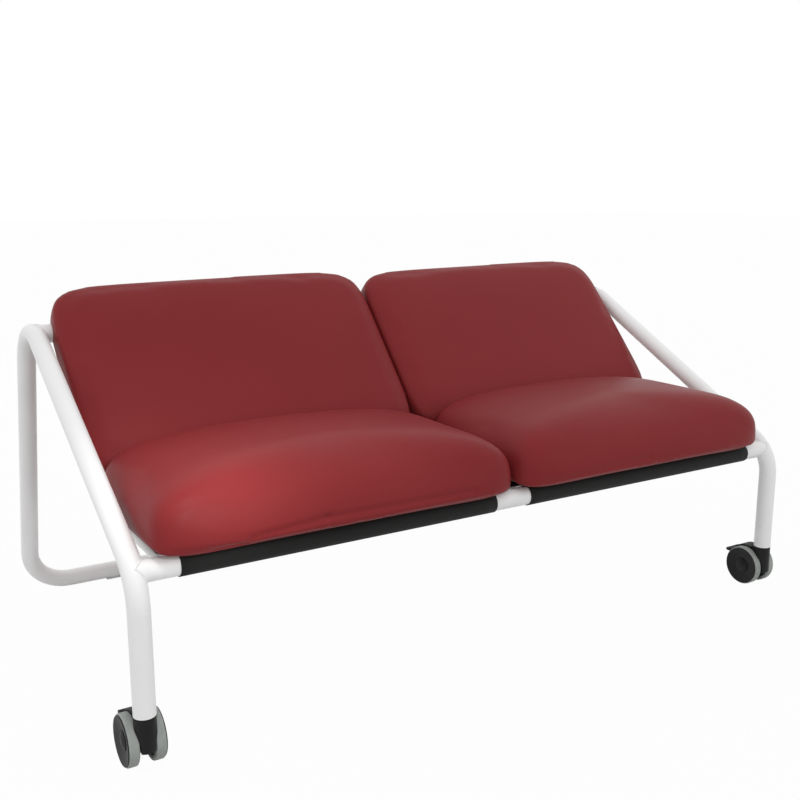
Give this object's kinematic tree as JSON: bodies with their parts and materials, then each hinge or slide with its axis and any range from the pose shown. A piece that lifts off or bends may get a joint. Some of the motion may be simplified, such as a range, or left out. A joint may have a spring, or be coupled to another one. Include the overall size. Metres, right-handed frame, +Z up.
{
  "type": "office sofa",
  "caption": "Low two-seat lounge sofa with a bent white tube frame, slip-on dark red cushions on black slings, front casters and a rear floor rail.",
  "frame": {"origin": "on the floor, mid-width and mid-depth of the sofa", "axes": "+X along the sofa to the sitter's left hand, +Y to its back, +Z up"},
  "size_m": [1.574, 0.9156, 0.7454],
  "materials": {
    "white_powder_coat": "satin powder coat",
    "bright_steel": "zinc-plated",
    "black_textile": "tight woven sling",
    "red_leather": "smooth, semi-matt",
    "foam": "open-cell foam",
    "black_plastic": "moulded, fine grain",
    "pale_nylon": "moulded, smooth",
    "grey_tread": "soft polyurethane tread"
  },
  "bodies": {
    "frame": {"left_side_tube": "white_powder_coat", "right_side_tube": "white_powder_coat", "rear_floor_tube": "white_powder_coat", "front_rail": "white_powder_coat", "top_rail": "white_powder_coat", "left_outer_rib": "white_powder_coat", "left_inner_rib": "white_powder_coat", "right_inner_rib": "white_powder_coat", "right_outer_rib": "white_powder_coat", "rear_leg_spigots": "bright_steel", "floor_glides": "pale_nylon", "left_sling": "black_textile", "left_seat_cushion": "red_leather", "left_back_cushion": "red_leather", "left_seat_foam": "foam", "left_back_foam": "foam", "left_leg_plug": "black_plastic", "left_caster_stem": "bright_steel", "right_sling": "black_textile", "right_seat_cushion": "red_leather", "right_back_cushion": "red_leather", "right_seat_foam": "foam", "right_back_foam": "foam", "right_leg_plug": "black_plastic", "right_caster_stem": "bright_steel"},
    "left_caster": {"left_caster_housing": "black_plastic", "left_caster_axle": "bright_steel", "left_lever_pin": "bright_steel"},
    "left_brake": {"left_brake_lever": "black_plastic"},
    "left_outer_wheel": {"left_outer_hub": "black_plastic", "left_outer_tyre": "grey_tread", "left_outer_cap": "black_plastic"},
    "left_inner_wheel": {"left_inner_hub": "black_plastic", "left_inner_tyre": "grey_tread", "left_inner_cap": "black_plastic"},
    "right_caster": {"right_caster_housing": "black_plastic", "right_caster_axle": "bright_steel", "right_lever_pin": "bright_steel"},
    "right_brake": {"right_brake_lever": "black_plastic"},
    "right_outer_wheel": {"right_outer_hub": "black_plastic", "right_outer_tyre": "grey_tread", "right_outer_cap": "black_plastic"},
    "right_inner_wheel": {"right_inner_hub": "black_plastic", "right_inner_tyre": "grey_tread", "right_inner_cap": "black_plastic"}
  },
  "joints": [
    {"name": "left_caster_swivel", "type": "hinge", "parent": "frame", "child": "left_caster", "pos_m": [-0.754, -0.42979, 0.099], "axis": [0, 0, 1], "continuous": true},
    {"name": "left_brake_tip", "type": "hinge", "parent": "left_caster", "child": "left_brake", "pos_m": [-0.754, -0.37179, 0.069], "axis": [1, 0, 0], "range_deg": [-12, 0]},
    {"name": "left_outer_wheel_spin", "type": "hinge", "parent": "left_caster", "child": "left_outer_wheel", "pos_m": [-0.754, -0.39779, 0.045], "axis": [1, 0, 0], "continuous": true},
    {"name": "left_inner_wheel_spin", "type": "hinge", "parent": "left_caster", "child": "left_inner_wheel", "pos_m": [-0.754, -0.39779, 0.045], "axis": [1, 0, 0], "continuous": true},
    {"name": "right_caster_swivel", "type": "hinge", "parent": "frame", "child": "right_caster", "pos_m": [0.754, -0.42979, 0.099], "axis": [0, 0, 1], "continuous": true},
    {"name": "right_brake_tip", "type": "hinge", "parent": "right_caster", "child": "right_brake", "pos_m": [0.754, -0.37179, 0.069], "axis": [1, 0, 0], "range_deg": [-12, 0]},
    {"name": "right_outer_wheel_spin", "type": "hinge", "parent": "right_caster", "child": "right_outer_wheel", "pos_m": [0.754, -0.39779, 0.045], "axis": [1, 0, 0], "continuous": true},
    {"name": "right_inner_wheel_spin", "type": "hinge", "parent": "right_caster", "child": "right_inner_wheel", "pos_m": [0.754, -0.39779, 0.045], "axis": [1, 0, 0], "continuous": true}
  ]
}
